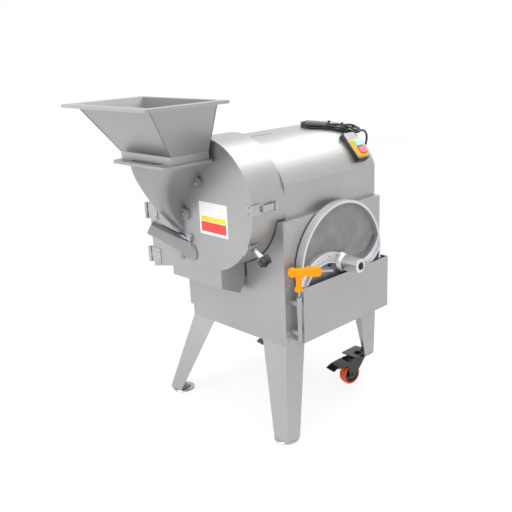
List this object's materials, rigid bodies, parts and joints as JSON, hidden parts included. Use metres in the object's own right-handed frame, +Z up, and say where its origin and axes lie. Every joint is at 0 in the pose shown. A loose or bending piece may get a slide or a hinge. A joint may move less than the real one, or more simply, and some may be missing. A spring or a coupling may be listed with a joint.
{
  "type": "vegetable cutting machine",
  "caption": "Floor-standing vegetable cutter with a hinged drum door, hopper, slanted feed tube, spinning disc, spare disc rack and braked rear casters.",
  "frame": {"origin": "middle of the footprint of the machine without its cord, on the floor", "axes": "+Z up, the door and hopper face -Y, the disc rack is on +X"},
  "size_m": [0.6622, 0.9747, 1.07],
  "materials": {
    "blasted_stainless": "bead blasted stainless sheet, satin",
    "cast_aluminium": "cast aluminium, machined rim",
    "polished_steel": "smooth stainless steel",
    "motor_paint": "satin enamel",
    "machined_iron": "turned cast iron",
    "belt_rubber": "matte",
    "black_plastic": "satin",
    "switch_plate_metal": "anodised",
    "yellow_plastic": "gloss",
    "green_button": "gloss",
    "red_button": "gloss",
    "plug_plastic": "satin",
    "cable_jacket": "satin",
    "orange_plastic": "gloss",
    "black_enamel": "satin enamel",
    "orange_tread": "smooth polyurethane"
  },
  "bodies": {
    "frame": {"base_frame": "blasted_stainless", "bearing_housing": "machined_iron", "cabinet_body": "blasted_stainless", "cable_gland": "black_plastic", "cable_hank": "cable_jacket", "cable_ties": "black_plastic", "caster_plates": "black_enamel", "cover_screws": "polished_steel", "discharge_chute": "blasted_stainless", "drive_belt": "belt_rubber", "drum_housing": "blasted_stainless", "front_plate": "blasted_stainless", "hinge_frame_leaves": "polished_steel", "latch_base": "polished_steel", "leg_bolts": "polished_steel", "leg_front_left": "blasted_stainless", "leg_front_right": "blasted_stainless", "leg_rear_left": "blasted_stainless", "leg_rear_right": "blasted_stainless", "leveling_feet": "polished_steel", "motor": "motor_paint", "power_cable": "cable_jacket", "power_plug": "plug_plastic", "rack_pocket": "blasted_stainless", "side_cover_left": "blasted_stainless", "side_cover_right": "blasted_stainless", "switch_base": "black_plastic", "switch_cover": "yellow_plastic", "switch_plate": "switch_plate_metal", "tool_holder": "blasted_stainless", "top_cover": "blasted_stainless"},
    "door": {"door_pan": "blasted_stainless", "hopper": "blasted_stainless", "funnel_throat": "blasted_stainless", "feed_tube": "blasted_stainless", "door_screws": "polished_steel", "hinge_door_leaves": "polished_steel", "latch_strike": "polished_steel", "clamp_tab": "polished_steel"},
    "spindle": {"spindle_shaft": "polished_steel", "spindle_pulley": "machined_iron", "cutter_disc": "cast_aluminium", "cutter_blades": "polished_steel"},
    "motor_drive": {"motor_pulley": "machined_iron"},
    "latch": {"latch_lever": "polished_steel"},
    "knob": {"clamp_knob": "black_plastic"},
    "start": {"start_button": "green_button"},
    "stop": {"stop_button": "red_button"},
    "spare": {"spare_disc": "cast_aluminium", "spare_blades": "polished_steel"},
    "hex_key": {"key_handle": "orange_plastic", "key_rod": "polished_steel"},
    "caster_left": {"caster_fork_left": "black_enamel"},
    "wheel_left": {"wheel_core_left": "black_plastic", "wheel_tread_left": "orange_tread"},
    "pedal_left": {"brake_pedal_left": "black_enamel"},
    "caster_right": {"caster_fork_right": "black_enamel"},
    "wheel_right": {"wheel_core_right": "black_plastic", "wheel_tread_right": "orange_tread"},
    "pedal_right": {"brake_pedal_right": "black_enamel"}
  },
  "joints": [
    {"name": "door_hinge", "type": "hinge", "parent": "frame", "child": "door", "pos_m": [-0.3241, -0.164, 0.65], "axis": [0, 0, -1], "range_deg": [0, 115]},
    {"name": "spindle_spin", "type": "hinge", "parent": "frame", "child": "spindle", "pos_m": [-0.0101, 0.0455, 0.745], "axis": [0, 1, 0], "continuous": true},
    {"name": "motor_spin", "type": "hinge", "parent": "frame", "child": "motor_drive", "pos_m": [-0.0101, 0.1755, 0.425], "axis": [0, 1, 0], "continuous": true},
    {"name": "latch_swing", "type": "hinge", "parent": "frame", "child": "latch", "pos_m": [0.2104, -0.0705, 0.755], "axis": [0, 0, 1], "range_deg": [0, 100]},
    {"name": "knob_spin", "type": "hinge", "parent": "frame", "child": "knob", "pos_m": [0.17644, -0.1285, 0.61918], "axis": [0.829, 0, -0.5592], "continuous": true},
    {"name": "start_press", "type": "slide", "parent": "frame", "child": "start", "axis": [-0.7449, 0, -0.6672], "range_m": [0, 0.0025], "stiffness_N_per_m": 500, "springref_m": -0.002},
    {"name": "stop_press", "type": "slide", "parent": "frame", "child": "stop", "axis": [-0.7449, 0, -0.6672], "range_m": [0, 0.0025], "stiffness_N_per_m": 500, "springref_m": -0.002},
    {"name": "spare_disc_lift", "type": "slide", "parent": "frame", "child": "spare", "axis": [0, 0, 1], "range_m": [0, 0.25]},
    {"name": "hex_key_lift", "type": "slide", "parent": "frame", "child": "hex_key", "axis": [0, 0, 1], "range_m": [0, 0.17]},
    {"name": "swivel_left", "type": "hinge", "parent": "frame", "child": "caster_left", "pos_m": [-0.1921, 0.3695, 0.105], "axis": [0, 0, 1], "continuous": true},
    {"name": "roll_left", "type": "hinge", "parent": "caster_left", "child": "wheel_left", "pos_m": [-0.19967, 0.33226, 0.0375], "axis": [0.9799, -0.1994, 0], "continuous": true},
    {"name": "brake_left", "type": "hinge", "parent": "caster_left", "child": "pedal_left", "pos_m": [-0.20207, 0.3205, 0.088], "axis": [0.9799, -0.1994, 0], "range_deg": [0, 9]},
    {"name": "swivel_right", "type": "hinge", "parent": "frame", "child": "caster_right", "pos_m": [0.1719, 0.3695, 0.105], "axis": [0, 0, 1], "continuous": true},
    {"name": "roll_right", "type": "hinge", "parent": "caster_right", "child": "wheel_right", "pos_m": [0.16432, 0.33226, 0.0375], "axis": [0.9799, -0.1994, 0], "continuous": true},
    {"name": "brake_right", "type": "hinge", "parent": "caster_right", "child": "pedal_right", "pos_m": [0.16193, 0.3205, 0.088], "axis": [0.9799, -0.1994, 0], "range_deg": [0, 9]}
  ],
  "couplings": [
    {"joint": "motor_spin", "follows": "spindle_spin", "ratio": 2.8571}
  ]
}
